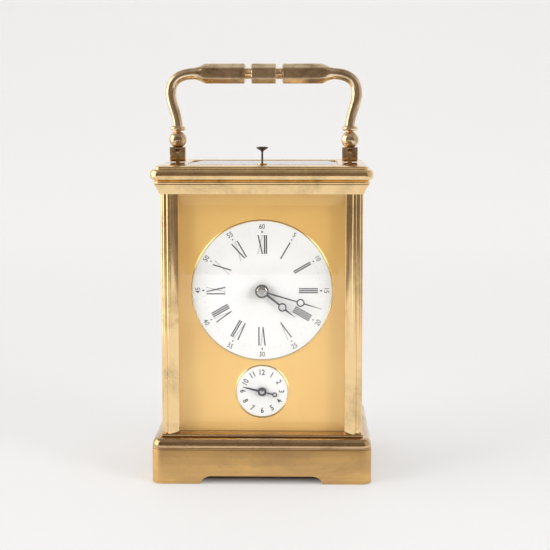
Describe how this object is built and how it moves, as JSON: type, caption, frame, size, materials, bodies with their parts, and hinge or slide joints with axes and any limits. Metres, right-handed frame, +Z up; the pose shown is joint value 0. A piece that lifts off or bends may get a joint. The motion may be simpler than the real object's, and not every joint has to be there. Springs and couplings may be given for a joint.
{
  "type": "carriage clock",
  "caption": "Brass carriage clock with a folding handle, bevelled glass panes, a rear door, enamel hour and alarm dials, a repeat button and a spring-driven striking movement.",
  "frame": {"origin": "centre of the plinth's footprint, on the surface it stands on", "axes": "+Z up, the dial faces -Y, +X to the right seen from the front"},
  "size_m": [0.095, 0.082, 0.1811],
  "materials": {
    "polished_brass": "polished, lightly tarnished",
    "satin_brass": "satin, worn",
    "gilt": "fine brushed gilt",
    "plate_brass": "grained and lacquered",
    "wheel_brass": "polished",
    "glass": "clear, bevelled",
    "enamel": "gloss",
    "blued_steel": "polished, blued",
    "steel": "polished"
  },
  "bodies": {
    "case": {"plinth_skirt": "satin_brass", "base_moulding": "polished_brass", "case_screws": "steel", "post_front_left": "polished_brass", "post_front_right": "polished_brass", "post_rear_left": "polished_brass", "post_rear_right": "polished_brass", "top_frame": "polished_brass", "top_glass": "glass", "front_glass": "glass", "side_glass_left": "glass", "side_glass_right": "glass", "pivot_block_left": "polished_brass", "pivot_block_right": "polished_brass", "pivot_pins": "steel", "button_bush": "polished_brass", "dial_mask": "gilt", "mask_feet": "plate_brass", "main_dial": "enamel", "alarm_dial": "enamel", "front_plate": "plate_brass", "back_plate": "plate_brass", "plate_pillars": "plate_brass", "platform": "steel", "balance_cock": "plate_brass", "gong": "blued_steel"},
    "handle": {"handle_grip": "polished_brass", "handle_arm_left": "polished_brass", "handle_arm_right": "polished_brass"},
    "button": {"repeat_button": "steel"},
    "door": {"door_frame": "polished_brass", "door_glass": "glass", "door_knob": "polished_brass"},
    "minute_arbor": {"centre_arbor": "steel", "cannon_pinion": "steel", "minute_hand": "blued_steel", "hand_nut": "steel"},
    "hour": {"hour_wheel": "wheel_brass", "hour_hand": "blued_steel"},
    "motion_wheel": {"minute_wheel": "wheel_brass"},
    "alarm_setting": {"alarm_set_arbor": "steel", "alarm_hand": "blued_steel"},
    "rack": {"rack": "steel"},
    "going_barrel": {"going_barrel": "wheel_brass"},
    "going_winding": {"going_winding_arbor": "steel"},
    "intermediate": {"intermediate_wheel": "wheel_brass"},
    "centre": {"centre_wheel": "wheel_brass"},
    "third": {"third_wheel": "wheel_brass"},
    "contrate": {"contrate_wheel": "wheel_brass"},
    "escape": {"escape_wheel": "steel"},
    "lever": {"pallet_lever": "steel"},
    "balance": {"balance_wheel": "wheel_brass", "hairspring": "blued_steel"},
    "strike_barrel": {"strike_barrel": "wheel_brass"},
    "strike_winding": {"strike_winding_arbor": "steel"},
    "pin_wheel": {"pin_wheel": "wheel_brass"},
    "fly": {"fly": "wheel_brass"},
    "strike_hammer": {"strike_hammer": "steel"},
    "alarm_hammer": {"alarm_hammer": "steel"},
    "alarm_barrel": {"alarm_barrel": "wheel_brass"}
  },
  "joints": [
    {"name": "handle_swing", "type": "hinge", "parent": "case", "child": "handle", "pos_m": [0, 0, 0.1404], "axis": [1, 0, 0], "range_deg": [-80, 80]},
    {"name": "door_swing", "type": "hinge", "parent": "case", "child": "door", "pos_m": [0.03365, 0.0345, 0.073], "axis": [0, 0, -1], "range_deg": [0, 105]},
    {"name": "repeat_push", "type": "slide", "parent": "case", "child": "button", "axis": [0, 0, -1], "range_m": [0, 0.0025], "stiffness_N_per_m": 200, "springref_m": -0.001},
    {"name": "minute_turn", "type": "hinge", "parent": "case", "child": "minute_arbor", "pos_m": [0, 0, 0.0828], "axis": [0, 1, 0], "continuous": true},
    {"name": "hour_turn", "type": "hinge", "parent": "case", "child": "hour", "pos_m": [0, 0, 0.0828], "axis": [0, 1, 0], "continuous": true},
    {"name": "motion_wheel_turn", "type": "hinge", "parent": "case", "child": "motion_wheel", "pos_m": [0.0048, 0, 0.07449], "axis": [0, 1, 0], "continuous": true},
    {"name": "alarm_set_turn", "type": "hinge", "parent": "case", "child": "alarm_setting", "pos_m": [0, 0, 0.0384], "axis": [0, 1, 0], "continuous": true},
    {"name": "rack_swing", "type": "hinge", "parent": "case", "child": "rack", "pos_m": [-0.019, 0, 0.062], "axis": [0, 1, 0], "range_deg": [-6, 0]},
    {"name": "contrate_turn", "type": "hinge", "parent": "case", "child": "contrate", "pos_m": [0.0115, 0, 0.09], "axis": [0, 1, 0], "continuous": true},
    {"name": "third_turn", "type": "hinge", "parent": "case", "child": "third", "pos_m": [0.01232, 0, 0.07728], "axis": [0, 1, 0], "continuous": true},
    {"name": "centre_turn", "type": "hinge", "parent": "case", "child": "centre", "pos_m": [0, 0, 0.0828], "axis": [0, 1, 0], "continuous": true},
    {"name": "intermediate_turn", "type": "hinge", "parent": "case", "child": "intermediate", "pos_m": [-0.01336, 0, 0.07007], "axis": [0, 1, 0], "continuous": true},
    {"name": "going_barrel_turn", "type": "hinge", "parent": "case", "child": "going_barrel", "pos_m": [-0.0166, 0, 0.052], "axis": [0, 1, 0], "continuous": true},
    {"name": "going_winding_turn", "type": "hinge", "parent": "case", "child": "going_winding", "pos_m": [-0.0166, 0, 0.052], "axis": [0, 1, 0], "continuous": true},
    {"name": "escape_turn", "type": "hinge", "parent": "case", "child": "escape", "pos_m": [0.0115, 0, 0.1068], "axis": [0, 0, 1], "continuous": true},
    {"name": "lever_rock", "type": "hinge", "parent": "case", "child": "lever", "pos_m": [0.0055, 0, 0.1068], "axis": [0, 0, 1], "range_deg": [-4, 4]},
    {"name": "balance_swing", "type": "hinge", "parent": "case", "child": "balance", "pos_m": [-0.0055, 0, 0.111], "axis": [0, 0, 1], "range_deg": [-150, 150], "stiffness_Nm_per_rad": 0.00002},
    {"name": "strike_barrel_turn", "type": "hinge", "parent": "case", "child": "strike_barrel", "pos_m": [0.0166, 0, 0.052], "axis": [0, 1, 0], "continuous": true},
    {"name": "strike_winding_turn", "type": "hinge", "parent": "case", "child": "strike_winding", "pos_m": [0.0166, 0, 0.052], "axis": [0, 1, 0], "continuous": true},
    {"name": "pin_wheel_turn", "type": "hinge", "parent": "case", "child": "pin_wheel", "pos_m": [0.02633, 0, 0.06757], "axis": [0, 1, 0], "continuous": true},
    {"name": "fly_turn", "type": "hinge", "parent": "case", "child": "fly", "pos_m": [0.02783, 0, 0.07608], "axis": [0, 1, 0], "continuous": true},
    {"name": "strike_hammer_swing", "type": "hinge", "parent": "case", "child": "strike_hammer", "pos_m": [-0.025, 0, 0.1], "axis": [0, 1, 0], "range_deg": [-14, 0], "stiffness_Nm_per_rad": 0.002},
    {"name": "alarm_hammer_swing", "type": "hinge", "parent": "case", "child": "alarm_hammer", "pos_m": [0.025, 0, 0.1], "axis": [0, 1, 0], "range_deg": [0, 14], "stiffness_Nm_per_rad": 0.002},
    {"name": "alarm_barrel_turn", "type": "hinge", "parent": "case", "child": "alarm_barrel", "pos_m": [0.0135, 0, 0.029], "axis": [0, 1, 0], "continuous": true}
  ],
  "couplings": [
    {"joint": "hour_turn", "follows": "minute_turn", "ratio": 0.083333},
    {"joint": "motion_wheel_turn", "follows": "minute_turn", "ratio": -0.33333},
    {"joint": "going_barrel_turn", "follows": "centre_turn", "ratio": 0.018519},
    {"joint": "intermediate_turn", "follows": "centre_turn", "ratio": -0.13889},
    {"joint": "third_turn", "follows": "centre_turn", "ratio": -8},
    {"joint": "contrate_turn", "follows": "centre_turn", "ratio": 60},
    {"joint": "escape_turn", "follows": "centre_turn", "ratio": 540},
    {"joint": "pin_wheel_turn", "follows": "strike_barrel_turn", "ratio": -7.5},
    {"joint": "fly_turn", "follows": "strike_barrel_turn", "ratio": 52.5}
  ]
}
